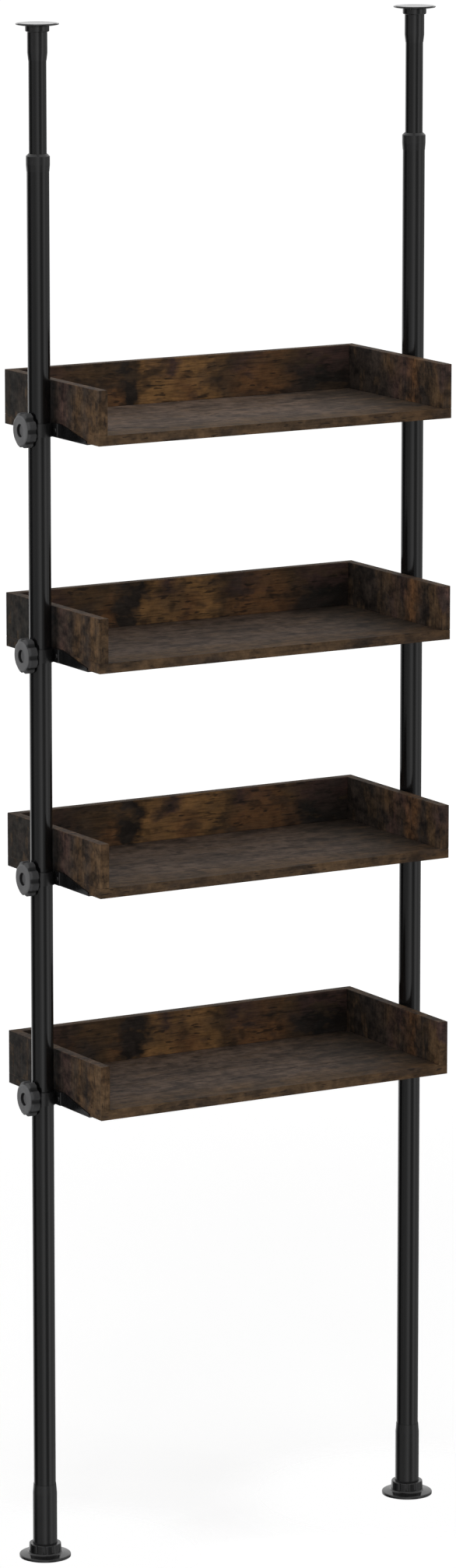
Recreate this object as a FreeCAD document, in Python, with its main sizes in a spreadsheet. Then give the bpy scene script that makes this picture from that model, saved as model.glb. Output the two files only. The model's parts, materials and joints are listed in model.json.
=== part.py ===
"""Tension pole shelf unit: two telescopic poles braced between floor and ceiling carry four open trays.

Front is -Y, up is +Z, and the origin lies on the floor midway between the poles. Sizes are in millimetres.
"""
import FreeCAD, Part
import os
import Sketcher

SIZES = [
    # Whole unit
    ("unit_height", "2300"),
    ("running_clearance", "0.3"),
    ("fit_clearance", "0.1"),
    ("cut_overrun", "5"),
    # Tubes
    ("lower_tube_diameter", "33"),
    ("tube_wall", "1.2"),
    ("telescope_gap", "2.25"),
    ("lower_tube_start", "50"),
    ("upper_tube_showing", "188.6"),
    ("upper_tube_insertion", "600"),
    # Collar on the lower tube
    ("collar_height", "25.5"),
    ("collar_wall", "0.9"),
    ("collar_chamfer", "3.5"),
    ("collar_taper", "10"),
    ("collar_lip", "8"),
    ("collar_insert_length", "30"),
    # Twist lock inside the lower tube
    ("spigot_plug_length", "30"),
    ("spigot_flange_height", "4"),
    ("spigot_journal_length", "24"),
    ("spigot_journal_diameter", "16"),
    ("spigot_journal_offset", "1.2"),
    ("spigot_head_height", "5"),
    ("lock_ring_slit", "5"),
    # Ceiling end
    ("pad_thickness", "1.5"),
    ("pad_proud", "0.5"),
    ("pad_inset", "3"),
    ("cap_disc_diameter", "63"),
    ("cap_disc_thickness", "1.8"),
    ("cap_disc_dish", "2.6"),
    ("cap_disc_edge_radius", "0.5"),
    ("cap_cup_step", "2.95"),
    ("cap_cup_height", "7.7"),
    ("cap_cup_edge_radius", "1.8"),
    ("cap_sleeve_wall", "1.55"),
    ("cap_sleeve_length", "41.4"),
    ("cap_taper_length", "11"),
    ("cap_tube_seat", "5"),
    # Foot
    ("foot_disc_diameter", "77.5"),
    ("foot_rim_height", "4"),
    ("foot_rim_radius", "1.6"),
    ("foot_dome_height", "1.8"),
    ("foot_cup_wall", "5.1"),
    ("foot_cup_draft", "1"),
    ("foot_cup_height", "15"),
    ("foot_cup_depth", "12"),
    ("foot_cup_edge_radius", "1.2"),
    ("foot_cup_root_radius", "2.5"),
    ("foot_groove_radius", "3"),
    ("foot_groove_depth", "0.7"),
    ("foot_grooves", "12"),
    ("foot_stem_diameter", "14"),
    ("foot_thread_depth", "0.8"),
    ("foot_stem_length", "88"),
    ("foot_sleeve_wall", "1.4"),
    ("foot_sleeve_top_height", "113.5"),
    ("foot_sleeve_taper", "14"),
    ("foot_sleeve_gap", "0.5"),
    # Trays
    ("shelf_length", "600"),
    ("shelf_depth", "284"),
    ("tray_height", "81"),
    ("board_thickness", "15"),
    ("board_edge_radius", "0.8"),
    ("lowest_shelf_height", "699.6"),
    ("top_shelf_drop", "411.9"),
    # Joint screws through the tray floor into the walls
    ("joint_screw_diameter", "4.8"),
    ("joint_screw_length", "50"),
    ("joint_head_diameter", "8"),
    ("joint_head_height", "2.8"),
    ("joint_head_cover", "0.2"),
    ("side_screw_inset", "25"),
    ("back_screw_inset", "70"),
    # Brackets under the tray ends
    ("bracket_length", "214"),
    ("bracket_thickness", "2"),
    ("bracket_flange_width", "26"),
    ("bracket_web_height", "20"),
    ("bracket_web_straight", "64"),
    ("bracket_tip_height", "4"),
    ("bracket_corner_radius", "9"),
    ("bracket_screw_line", "17"),
    ("bracket_screw_end_inset", "17"),
    ("bracket_screw_diameter", "3.5"),
    ("bracket_screw_length", "13"),
    ("bracket_head_diameter", "7.6"),
    ("bracket_head_height", "2.2"),
    # Pole clamps
    ("pole_web_clearance", "1.5"),
    ("clamp_height", "20"),
    ("clamp_wall", "3"),
    ("clamp_ear_reach", "8.2"),
    ("clamp_ear_thickness", "4"),
    ("clamp_ear_radius", "1.5"),
    ("clamp_boss_diameter", "18"),
    ("clamp_boss_height", "1.2"),
    ("rivet_ring_distance", "3.2"),
    ("rivet_diameter", "3.8"),
    ("rivet_head_diameter", "7.2"),
    ("rivet_head_height", "2"),
    # Hand knobs
    ("knob_diameter", "52.4"),
    ("knob_back_gap", "0.7"),
    ("knob_thickness", "14.1"),
    ("knob_face_inset", "2.9"),
    ("knob_face_rise", "3.2"),
    ("knob_lip", "2"),
    ("knob_edge_radius", "4"),
    ("knob_notch_radius", "6.5"),
    ("knob_notch_depth", "2.8"),
    ("knob_lobe_radius", "3"),
    ("knob_lobes", "8"),
    ("knob_hollow_gap", "1"),
    ("knob_recess_diameter", "19.6"),
    ("knob_recess_depth", "4.6"),
    ("knob_stud_diameter", "8"),
]

SHELVES = ["bottom", "lower", "upper", "top"]
SIDES = {"left": -1, "right": 1}
# Two lengths count as the same within this
SAME_WITHIN = 1e-4

# Lengths worked out from the sizes, as expressions
LOWER_TUBE_RADIUS = "Sizes.lower_tube_diameter / 2"
LOWER_TUBE_BORE = "(Sizes.lower_tube_diameter / 2 - Sizes.tube_wall)"
COLLAR_TOP = "(Sizes.unit_height - Sizes.upper_tube_showing)"
LOWER_TUBE_END = "(%s - Sizes.collar_lip)" % COLLAR_TOP
COLLAR_SKIN = "(%s + Sizes.fit_clearance)" % LOWER_TUBE_RADIUS
COLLAR_RADIUS = "(%s + Sizes.collar_wall)" % COLLAR_SKIN
UPPER_TUBE_RADIUS = "(%s - Sizes.telescope_gap)" % LOWER_TUBE_BORE
UPPER_TUBE_BORE = "(%s - Sizes.tube_wall)" % UPPER_TUBE_RADIUS
UPPER_TUBE_START = "(%s - Sizes.upper_tube_insertion)" % COLLAR_TOP
CAP_TOP = "(Sizes.unit_height - Sizes.pad_proud)"
CAP_PAD_SEAT = "(Sizes.unit_height - Sizes.pad_thickness)"
UPPER_TUBE_END = "(%s - Sizes.cap_tube_seat)" % CAP_PAD_SEAT
FOOT_DISC_TOP = "(Sizes.pad_proud + Sizes.foot_rim_height)"
FOOT_CUP_BASE = "(%s + Sizes.foot_dome_height)" % FOOT_DISC_TOP
FOOT_CUP_TOP = "(%s + Sizes.foot_cup_height)" % FOOT_CUP_BASE
FOOT_CUP_FLOOR = "(%s - Sizes.foot_cup_depth)" % FOOT_CUP_TOP
SLEEVE_BORE = "(%s + Sizes.running_clearance)" % LOWER_TUBE_RADIUS
FOOT_SLEEVE_RADIUS = "(%s + Sizes.foot_sleeve_wall)" % SLEEVE_BORE
FOOT_CUP_BORE = "(%s + Sizes.foot_sleeve_gap)" % FOOT_SLEEVE_RADIUS
FOOT_CUP_TOP_RADIUS = "(%s + Sizes.foot_cup_wall)" % FOOT_CUP_BORE
FOOT_CUP_BASE_RADIUS = "(%s + Sizes.foot_cup_draft)" % FOOT_CUP_TOP_RADIUS
WEB_FACE = "(%s + Sizes.pole_web_clearance)" % LOWER_TUBE_RADIUS
POLE_OFFSET = "(Sizes.shelf_length / 2 + Sizes.bracket_thickness + %s)" % WEB_FACE
EAR_FACE = "(%s - Sizes.clamp_ear_thickness)" % WEB_FACE
CLAMP_BORE = "(%s + Sizes.running_clearance)" % LOWER_TUBE_RADIUS
CLAMP_RADIUS = "(%s + Sizes.clamp_wall)" % CLAMP_BORE
CLAMP_AXIS_HEIGHT = "Sizes.clamp_height / 2"
EAR_END = "(%s + Sizes.clamp_ear_reach)" % CLAMP_RADIUS
BOSS_FACE = "(%s + Sizes.clamp_boss_height)" % CLAMP_RADIUS
RIVET_OFFSET = "(%s + Sizes.rivet_ring_distance)" % CLAMP_RADIUS
TOP_SHELF_HEIGHT = "(%s - Sizes.top_shelf_drop)" % COLLAR_TOP
WALL_HEIGHT = "(Sizes.tray_height - Sizes.board_thickness)"
JOINT_HOLE_RADIUS = "(Sizes.joint_screw_diameter / 2 + Sizes.fit_clearance)"
JOINT_SHANK_LENGTH = "(Sizes.joint_screw_length - Sizes.joint_head_height)"
JOINT_HEAD_RECESS = "(Sizes.joint_head_height + Sizes.joint_head_cover)"
JOINT_SCREW_TIP = "(%s + %s)" % (JOINT_HEAD_RECESS, JOINT_SHANK_LENGTH)
JOINT_HOLE_DEPTH = "(%s - Sizes.board_thickness + Sizes.fit_clearance)" % JOINT_SCREW_TIP
BRACKET_PILOT_RADIUS = "(Sizes.bracket_screw_diameter / 2 + Sizes.fit_clearance)"
BRACKET_PILOT_DEPTH = "(Sizes.bracket_screw_length - Sizes.bracket_thickness + Sizes.fit_clearance)"
RIVET_HOLE_RADIUS = "(Sizes.rivet_diameter / 2 + Sizes.fit_clearance)"
SIDE_SCREW_LINE = "(Sizes.shelf_length / 2 - Sizes.board_thickness / 2)"
SIDE_SCREW_FRONT = "(-Sizes.shelf_depth / 2 + Sizes.side_screw_inset)"
SIDE_SCREW_BACK = "(Sizes.shelf_depth / 2 - Sizes.board_thickness - Sizes.side_screw_inset)"
BACK_SCREW_LINE = "(Sizes.shelf_depth / 2 - Sizes.board_thickness / 2)"
BACK_SCREW_OUTER = "(Sizes.shelf_length / 2 - Sizes.back_screw_inset)"
BACK_SCREW_INNER_SHARE = "1 / 3"
BRACKET_SCREW_LINE = "(Sizes.shelf_length / 2 + Sizes.bracket_thickness - Sizes.bracket_screw_line)"
BRACKET_OUTER_SCREW = "(Sizes.bracket_length / 2 - Sizes.bracket_screw_end_inset)"
BRACKET_INNER_SCREW_SHARE = "1 / 2"
KNOB_BACK = "(%s + Sizes.knob_back_gap)" % COLLAR_RADIUS
KNOB_FRONT = "(%s + Sizes.knob_thickness)" % KNOB_BACK
KNOB_SHOULDER = "(%s - Sizes.knob_face_rise)" % KNOB_FRONT
KNOB_NOTCH_BOTTOM = "(Sizes.knob_diameter / 2 - Sizes.knob_notch_depth)"
# How much of a wall is left at the thin end of a tapered sleeve
LIP_SHARE = "1 / 6"
ZERO = "0"

doc = FreeCAD.newDocument("pole_shelf_unit")
sheet = doc.addObject("Spreadsheet::Sheet", "Sizes")
for row, (alias, value) in enumerate(SIZES, start=1):
    sheet.set("A%d" % row, alias)
    sheet.set("B%d" % row, value)
    sheet.setAlias("B%d" % row, alias)
doc.recompute()

nodes = []


def number(expression):
    """The present value of an expression on the sizes."""
    return float(sheet.evalExpression(expression))


def minus(expression):
    return "-(%s)" % expression


# Sketches

def sketch_on(body, plane, name):
    sketch = body.newObject("Sketcher::SketchObject", name)
    support = [datum for datum in body.Origin.OriginFeatures if datum.Role == plane]
    sketch.AttachmentSupport = [(support[0], "")]
    sketch.MapMode = "FlatFace"
    return sketch


def pin(sketch, geometry, point, across, up):
    """Tie a sketch point to the sheet, measured from the sketch's origin."""
    for kind, axis, expression in (("DistanceX", -2, across), ("DistanceY", -1, up)):
        if expression == ZERO:
            sketch.addConstraint(Sketcher.Constraint("PointOnObject", geometry, point, axis))
            continue
        index = sketch.addConstraint(Sketcher.Constraint(kind, -1, 1, geometry, point, number(expression)))
        sketch.setExpression("Constraints[%d]" % index, expression)


def outline(body, plane, name, corners):
    """A closed outline of straight edges through corners given as pairs of expressions."""
    sketch = sketch_on(body, plane, name)
    places = [FreeCAD.Vector(number(across), number(up), 0) for across, up in corners]
    for start, end in zip(places, places[1:] + places[:1]):
        sketch.addGeometry(Part.LineSegment(start, end), False)
    for index in range(len(corners)):
        before = (index - 1) % len(corners)
        sketch.addConstraint(Sketcher.Constraint("Coincident", before, 2, index, 1))
    for index, (across, up) in enumerate(corners):
        pin(sketch, index, 1, across, up)
    return sketch


def rectangle(body, plane, name, left, right, low, high):
    corners = [(left, low), (right, low), (right, high), (left, high)]
    return outline(body, plane, name, corners)


def circles(body, plane, name, rounds):
    """Circles given as centre across, centre up and radius."""
    sketch = sketch_on(body, plane, name)
    for index, (across, up, radius) in enumerate(rounds):
        centre = FreeCAD.Vector(number(across), number(up), 0)
        sketch.addGeometry(Part.Circle(centre, FreeCAD.Vector(0, 0, 1), number(radius)), False)
        pin(sketch, index, 3, across, up)
        size = sketch.addConstraint(Sketcher.Constraint("Radius", index, number(radius)))
        sketch.setExpression("Constraints[%d]" % size, radius)
    return sketch


# Features

def pad(body, sketch, length, reverse=False):
    feature = body.newObject("PartDesign::Pad", "Pad")
    feature.Profile = sketch
    feature.Reversed = reverse
    feature.setExpression("Length", length)
    return feature


def pocket(body, sketch, depth=None, reverse=True):
    """A cut to a depth, or right through. Reversed, it runs along the sketch's normal."""
    feature = body.newObject("PartDesign::Pocket", "Pocket")
    feature.Profile = sketch
    feature.Reversed = reverse
    if depth is None:
        feature.Type = "ThroughAll"
    else:
        feature.setExpression("Length", depth)
    return feature


def revolve(body, corners):
    """A turned solid about Z from an outline of radius and height."""
    sketch = outline(body, "XZ_Plane", "Profile", corners)
    feature = body.newObject("PartDesign::Revolution", "Revolution")
    feature.Profile = sketch
    feature.ReferenceAxis = (sketch, ["V_Axis"])
    feature.Angle = 360
    return feature


def edges_where(feature, test):
    doc.recompute()
    return ["Edge%d" % index for index, edge in enumerate(feature.Shape.Edges, start=1) if test(edge)]


def every_edge(edge):
    return True


def ring_edge(radius, height):
    """A test for the round edge about Z with this radius, at this height."""
    def test(edge):
        curve = edge.Curve
        if curve.TypeId != "Part::GeomCircle":
            return False
        off = max(abs(curve.Radius - number(radius)), abs(curve.Center.z - number(height)))
        return off < SAME_WITHIN
    return test


def fillet(body, feature, test, radius):
    names = edges_where(feature, test)
    rounding = body.newObject("PartDesign::Fillet", "Fillet")
    rounding.Base = (feature, names)
    rounding.setExpression("Radius", radius)
    return rounding


def around(body, sketch, feature, count):
    """Repeat a cut evenly about its sketch's normal."""
    pattern = body.newObject("PartDesign::PolarPattern", "Pattern")
    pattern.Originals = [feature]
    pattern.Axis = (sketch, ["N_Axis"])
    pattern.Angle = 360
    pattern.setExpression("Occurrences", count)
    body.Tip = pattern
    return pattern


# Sub-parts and their places

def new_body(label):
    body = doc.addObject("PartDesign::Body", label)
    body.Label = label
    return body


def place(item, across=ZERO, deep=ZERO, up=ZERO, turn=None):
    item.Placement = FreeCAD.Placement(FreeCAD.Vector(), turn or FreeCAD.Rotation())
    for axis, expression in (("x", across), ("y", deep), ("z", up)):
        item.setExpression("Placement.Base." + axis, expression)


def pole_x(side):
    return "%d * %s" % (SIDES[side], POLE_OFFSET)


def facing(side):
    """The turn that brings a piece drawn for the left pole to this side."""
    return FreeCAD.Rotation(FreeCAD.Vector(0, 0, 1), 180 if side == "right" else 0)


def shelf_z(level):
    """The height of a tray's underside, with the trays evenly spaced from the lowest to the top one."""
    pitch = "(%s - Sizes.lowest_shelf_height) / %d" % (TOP_SHELF_HEIGHT, len(SHELVES) - 1)
    return "Sizes.lowest_shelf_height + %d * %s" % (level, pitch)


def turned_piece(label, side, corners, roundings=()):
    """A sub-part turned about the pole's axis, drawn at its height above the floor.

    Each rounding is an edge's radius and height, and the fillet that it gets.
    """
    body = new_body(label)
    shape = revolve(body, corners)
    for radius, height, rounding in roundings:
        shape = fillet(body, shape, ring_edge(radius, height), rounding)
    place(body, pole_x(side))
    return body


# Poles

def lower_tube(side):
    return turned_piece(side + "_lower_tube", side, [
        (LOWER_TUBE_BORE, "Sizes.lower_tube_start"),
        (LOWER_TUBE_RADIUS, "Sizes.lower_tube_start"),
        (LOWER_TUBE_RADIUS, LOWER_TUBE_END),
        (LOWER_TUBE_BORE, LOWER_TUBE_END),
    ])


def tube_collar(side):
    """A moulded bush that caps the lower tube, inside and out, and guides the upper tube."""
    bottom = "(%s - Sizes.collar_height)" % COLLAR_TOP
    insert_end = "(%s - Sizes.collar_insert_length)" % LOWER_TUBE_END
    bore = "(%s + Sizes.running_clearance)" % UPPER_TUBE_RADIUS
    inner_skin = "(%s - Sizes.fit_clearance)" % LOWER_TUBE_BORE
    return turned_piece(side + "_tube_collar", side, [
        (bore, insert_end),
        (inner_skin, insert_end),
        (inner_skin, LOWER_TUBE_END),
        (COLLAR_SKIN, LOWER_TUBE_END),
        (COLLAR_SKIN, bottom),
        ("(%s + Sizes.collar_wall * %s)" % (COLLAR_SKIN, LIP_SHARE), bottom),
        (COLLAR_RADIUS, bottom + " + Sizes.collar_taper"),
        (COLLAR_RADIUS, COLLAR_TOP + " - Sizes.collar_chamfer"),
        (COLLAR_RADIUS + " - Sizes.collar_chamfer", COLLAR_TOP),
        (bore, COLLAR_TOP),
    ])


def upper_tube(side):
    return turned_piece(side + "_upper_tube", side, [
        (UPPER_TUBE_BORE, UPPER_TUBE_START),
        (UPPER_TUBE_RADIUS, UPPER_TUBE_START),
        (UPPER_TUBE_RADIUS, UPPER_TUBE_END),
        (UPPER_TUBE_BORE, UPPER_TUBE_END),
    ])


def lock_spigot(side):
    """A plug in the upper tube's lower end with an eccentric journal for the lock ring."""
    body = new_body(side + "_lock_spigot")
    head = circles(body, "XY_Plane", "HeadOutline", [(ZERO, ZERO, UPPER_TUBE_RADIUS)])
    journal = circles(body, "XY_Plane", "JournalOutline", [
        ("Sizes.spigot_journal_offset", ZERO, "Sizes.spigot_journal_diameter / 2"),
    ])
    flange_start = "(Sizes.spigot_head_height + Sizes.spigot_journal_length)"
    flange_end = "(%s + Sizes.spigot_flange_height)" % flange_start
    pad(body, head, "Sizes.spigot_head_height")
    pad(body, journal, flange_end)
    plug_radius = "(%s - Sizes.fit_clearance)" % UPPER_TUBE_BORE
    plug_end = "(%s + Sizes.spigot_plug_length)" % flange_end
    revolve(body, [
        (ZERO, flange_start),
        (UPPER_TUBE_RADIUS, flange_start),
        (UPPER_TUBE_RADIUS, flange_end),
        (plug_radius, flange_end),
        (plug_radius, plug_end),
        (ZERO, plug_end),
    ])
    place(body, pole_x(side), up="%s - %s" % (UPPER_TUBE_START, flange_end))
    return body


def lock_ring(side):
    """A split ring around the eccentric journal, which wedges in the lower tube when twisted."""
    body = new_body(side + "_lock_ring")
    outer = "(%s - Sizes.running_clearance)" % LOWER_TUBE_BORE
    bore = "(Sizes.spigot_journal_diameter / 2 + Sizes.spigot_journal_offset + Sizes.running_clearance)"
    ring = circles(body, "XY_Plane", "RingOutline", [(ZERO, ZERO, outer), (ZERO, ZERO, bore)])
    height = "(Sizes.spigot_journal_length - 2 * Sizes.running_clearance)"
    pad(body, ring, height)
    half = "Sizes.lock_ring_slit / 2"
    slit = rectangle(body, "XY_Plane", "Slit", ZERO, outer + " + Sizes.cut_overrun", minus(half), half)
    pocket(body, slit)
    below_tube = "(Sizes.spigot_flange_height + Sizes.running_clearance + %s)" % height
    place(body, pole_x(side), up="%s - %s" % (UPPER_TUBE_START, below_tube))
    return body


def pad_radius(disc_diameter):
    return "(%s / 2 - Sizes.pad_inset)" % disc_diameter


def pad_seat_radius(disc_diameter):
    return "(%s + Sizes.fit_clearance)" % pad_radius(disc_diameter)


def ceiling_cap(side):
    """A moulded socket on the upper tube, with a cup and a broad thin disc that seats the pad."""
    bore = "(%s + Sizes.fit_clearance)" % UPPER_TUBE_RADIUS
    sleeve = "(%s + Sizes.cap_sleeve_wall)" % bore
    cup = "(%s + Sizes.cap_cup_step)" % sleeve
    disc = "Sizes.cap_disc_diameter / 2"
    seat = pad_seat_radius("Sizes.cap_disc_diameter")
    disc_under = "(%s - Sizes.cap_disc_thickness)" % CAP_TOP
    dish_under = "(%s - Sizes.cap_disc_dish)" % disc_under
    cup_under = "(%s - Sizes.cap_cup_height)" % dish_under
    mouth = "(%s - Sizes.cap_sleeve_length)" % cup_under
    return turned_piece(side + "_ceiling_cap", side, [
        (bore, mouth),
        (bore, UPPER_TUBE_END),
        (ZERO, UPPER_TUBE_END),
        (ZERO, CAP_PAD_SEAT),
        (seat, CAP_PAD_SEAT),
        (seat, CAP_TOP),
        (disc, CAP_TOP),
        (disc, disc_under),
        (cup, dish_under),
        (cup, cup_under),
        (sleeve, cup_under),
        (sleeve, mouth + " + Sizes.cap_taper_length"),
        ("(%s + Sizes.cap_sleeve_wall * %s)" % (bore, LIP_SHARE), mouth),
    ], [
        (disc, CAP_TOP, "Sizes.cap_disc_edge_radius"),
        (disc, disc_under, "Sizes.cap_disc_edge_radius"),
        (cup, cup_under, "Sizes.cap_cup_edge_radius"),
    ])


def round_pad(label, side, disc_diameter, bottom):
    """A rubber pad let into a disc, from which it stands a little proud."""
    body = new_body(label)
    disc = circles(body, "XY_Plane", "PadOutline", [(ZERO, ZERO, pad_radius(disc_diameter))])
    pad(body, disc, "Sizes.pad_thickness")
    place(body, pole_x(side), up=bottom)
    return body


def foot_base(side):
    """A floor disc with a grooved cup for the sleeve and a jacking stem, drawn at its thread's root."""
    disc = "Sizes.foot_disc_diameter / 2"
    seat = pad_seat_radius("Sizes.foot_disc_diameter")
    stem = "(Sizes.foot_stem_diameter / 2 - Sizes.foot_thread_depth)"
    stem_top = "(%s + Sizes.foot_stem_length)" % FOOT_CUP_FLOOR
    body = turned_piece(side + "_foot_base", side, [
        (ZERO, "Sizes.pad_thickness"),
        (seat, "Sizes.pad_thickness"),
        (seat, "Sizes.pad_proud"),
        (disc, "Sizes.pad_proud"),
        (disc, FOOT_DISC_TOP),
        (FOOT_CUP_BASE_RADIUS, FOOT_CUP_BASE),
        (FOOT_CUP_TOP_RADIUS, FOOT_CUP_TOP),
        (FOOT_CUP_BORE, FOOT_CUP_TOP),
        (FOOT_CUP_BORE, FOOT_CUP_FLOOR),
        (stem, FOOT_CUP_FLOOR),
        (stem, stem_top),
        (ZERO, stem_top),
    ], [
        (disc, FOOT_DISC_TOP, "Sizes.foot_rim_radius"),
        (FOOT_CUP_BASE_RADIUS, FOOT_CUP_BASE, "Sizes.foot_cup_root_radius"),
        (FOOT_CUP_TOP_RADIUS, FOOT_CUP_TOP, "Sizes.foot_cup_edge_radius"),
    ])
    centre = "(%s + Sizes.foot_groove_radius - Sizes.foot_groove_depth)" % FOOT_CUP_TOP_RADIUS
    groove = circles(body, "XY_Plane", "Groove", [(centre, ZERO, "Sizes.foot_groove_radius")])
    groove.setExpression("AttachmentOffset.Base.z", "%s + Sizes.foot_cup_root_radius" % FOOT_CUP_BASE)
    around(body, groove, pocket(body, groove), "Sizes.foot_grooves")
    return body


def foot_sleeve(side):
    """A hand-turned sleeve: a nut on the foot's stem, with a socket that bears the lower tube."""
    bottom = "(%s + Sizes.running_clearance)" % FOOT_CUP_FLOOR
    web_top = "(Sizes.lower_tube_start - Sizes.running_clearance)"
    thread_bore = "(Sizes.foot_stem_diameter / 2 + Sizes.running_clearance)"
    top = "Sizes.foot_sleeve_top_height"
    lip = "(%s + Sizes.foot_sleeve_wall * %s)" % (SLEEVE_BORE, LIP_SHARE)
    return turned_piece(side + "_foot_sleeve", side, [
        (thread_bore, bottom),
        (FOOT_SLEEVE_RADIUS, bottom),
        (FOOT_SLEEVE_RADIUS, top + " - Sizes.foot_sleeve_taper"),
        (lip, top),
        (SLEEVE_BORE, top),
        (SLEEVE_BORE, web_top),
        (thread_bore, web_top),
    ])


def pole(side):
    return [
        lower_tube(side),
        tube_collar(side),
        upper_tube(side),
        lock_spigot(side),
        lock_ring(side),
        ceiling_cap(side),
        round_pad(side + "_ceiling_pad", side, "Sizes.cap_disc_diameter", CAP_PAD_SEAT),
        foot_base(side),
        foot_sleeve(side),
        round_pad(side + "_foot_pad", side, "Sizes.foot_disc_diameter", ZERO),
    ]


# Tray boards

def board(label, left, right, front, back, height):
    """A board with eased edges, drawn on its footprint."""
    body = new_body(label)
    footprint = rectangle(body, "XY_Plane", "Footprint", left, right, front, back)
    raw = pad(body, footprint, height)
    fillet(body, raw, every_edge, "Sizes.board_edge_radius")
    return body


def joint_screw_places():
    """Where the tray's joint screws stand: four under the side boards, four under the back board."""
    inner = "%s * %s" % (BACK_SCREW_OUTER, BACK_SCREW_INNER_SHARE)
    places = []
    for line in (minus(SIDE_SCREW_LINE), SIDE_SCREW_LINE):
        places += [(line, SIDE_SCREW_FRONT), (line, SIDE_SCREW_BACK)]
    for across in (minus(BACK_SCREW_OUTER), minus(inner), inner, BACK_SCREW_OUTER):
        places.append((across, BACK_SCREW_LINE))
    return places


def bracket_screw_offsets():
    """How far from the pole's axis a bracket's screws stand, to the front and to the back."""
    inner = "%s * %s" % (BRACKET_OUTER_SCREW, BRACKET_INNER_SCREW_SHARE)
    return [BRACKET_OUTER_SCREW, inner, minus(BRACKET_OUTER_SCREW), minus(inner)]


def bracket_screw_places():
    """Where the screws of both brackets go up into the tray floor."""
    places = []
    for line in (minus(BRACKET_SCREW_LINE), BRACKET_SCREW_LINE):
        places += [(line, offset) for offset in bracket_screw_offsets()]
    return places


def drill(body, name, places, radius, depth=None):
    """Upright holes from the board's underside, to a depth or right through."""
    pocket(body, circles(body, "XY_Plane", name, [(across, deep, radius) for across, deep in places]), depth)


def floor_board(shelf, level):
    half_length = "Sizes.shelf_length / 2"
    half_depth = "Sizes.shelf_depth / 2"
    body = board(shelf + "_shelf_floor_board", minus(half_length), half_length,
                 minus(half_depth), half_depth, "Sizes.board_thickness")
    head_radius = "Sizes.joint_head_diameter / 2 + Sizes.fit_clearance"
    drill(body, "JointHoles", joint_screw_places(), JOINT_HOLE_RADIUS)
    drill(body, "JointRecesses", joint_screw_places(), head_radius, JOINT_HEAD_RECESS)
    drill(body, "BracketPilots", bracket_screw_places(), BRACKET_PILOT_RADIUS, BRACKET_PILOT_DEPTH)
    place(body, up=shelf_z(level))
    return body


def wall_board(shelf, level, name, left, right, front, back):
    """A tray wall that stands on the floor board, with the holes of the joint screws under it."""
    body = board("%s_shelf_%s_board" % (shelf, name), left, right, front, back, WALL_HEIGHT)
    own = []
    for across, deep in joint_screw_places():
        if number(left) < number(across) < number(right) and number(front) < number(deep) < number(back):
            own.append((across, deep))
    drill(body, "JointHoles", own, JOINT_HOLE_RADIUS, JOINT_HOLE_DEPTH)
    place(body, up=shelf_z(level) + " + Sizes.board_thickness")
    return body


def tray_boards(shelf, level):
    right = "Sizes.shelf_length / 2"
    left = minus(right)
    inner_right = "(Sizes.shelf_length / 2 - Sizes.board_thickness)"
    inner_left = minus(inner_right)
    back = "Sizes.shelf_depth / 2"
    front = minus(back)
    back_face = "(Sizes.shelf_depth / 2 - Sizes.board_thickness)"
    return [
        floor_board(shelf, level),
        wall_board(shelf, level, "back", left, right, back_face, back),
        wall_board(shelf, level, "left", left, inner_left, front, back_face),
        wall_board(shelf, level, "right", inner_right, right, front, back_face),
    ]


# Brackets, clamps and knobs, drawn for the left pole

def bracket(shelf, level, side):
    """A folded steel angle under the tray's end, whose web tapers away from the pole."""
    body = new_body("%s_shelf_%s_bracket" % (shelf, side))
    half = "Sizes.bracket_length / 2"
    straight = "Sizes.bracket_web_straight / 2"
    web_top = "(Sizes.bracket_web_height + Sizes.bracket_thickness)"
    tip_top = "(Sizes.bracket_tip_height + Sizes.bracket_thickness)"
    web = outline(body, "YZ_Plane", "Web", [
        (minus(half), ZERO), (half, ZERO), (half, tip_top),
        (straight, web_top), (minus(straight), web_top), (minus(half), tip_top),
    ])
    pad(body, web, "Sizes.bracket_thickness")
    flange = rectangle(body, "XY_Plane", "Flange", ZERO, "Sizes.bracket_flange_width", minus(half), half)
    folded = pad(body, flange, "Sizes.bracket_thickness")
    flange_reach = number("Sizes.bracket_flange_width")
    half_length = number(half)

    def flange_corner(edge):
        box = edge.BoundBox
        return abs(box.XMin - flange_reach) < SAME_WITHIN and box.YLength < SAME_WITHIN

    def outer_bend(edge):
        box = edge.BoundBox
        return box.XMax < SAME_WITHIN and box.ZMax < SAME_WITHIN and box.YLength > half_length

    rounded = fillet(body, folded, flange_corner, "Sizes.bracket_corner_radius")
    fillet(body, rounded, outer_bend, "Sizes.bracket_thickness")
    screws = [("Sizes.bracket_screw_line", offset) for offset in bracket_screw_offsets()]
    drill(body, "ScrewHoles", screws, BRACKET_PILOT_RADIUS)
    rivet_height = CLAMP_AXIS_HEIGHT + " + Sizes.bracket_thickness"
    rivets = circles(body, "YZ_Plane", "RivetHoles", [
        (minus(RIVET_OFFSET), rivet_height, RIVET_HOLE_RADIUS),
        (RIVET_OFFSET, rivet_height, RIVET_HOLE_RADIUS),
    ])
    pocket(body, rivets)
    reach = "%d * (%s + Sizes.bracket_thickness)" % (SIDES[side], "Sizes.shelf_length / 2")
    place(body, reach, up=shelf_z(level) + " - Sizes.bracket_thickness", turn=facing(side))
    return body


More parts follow.
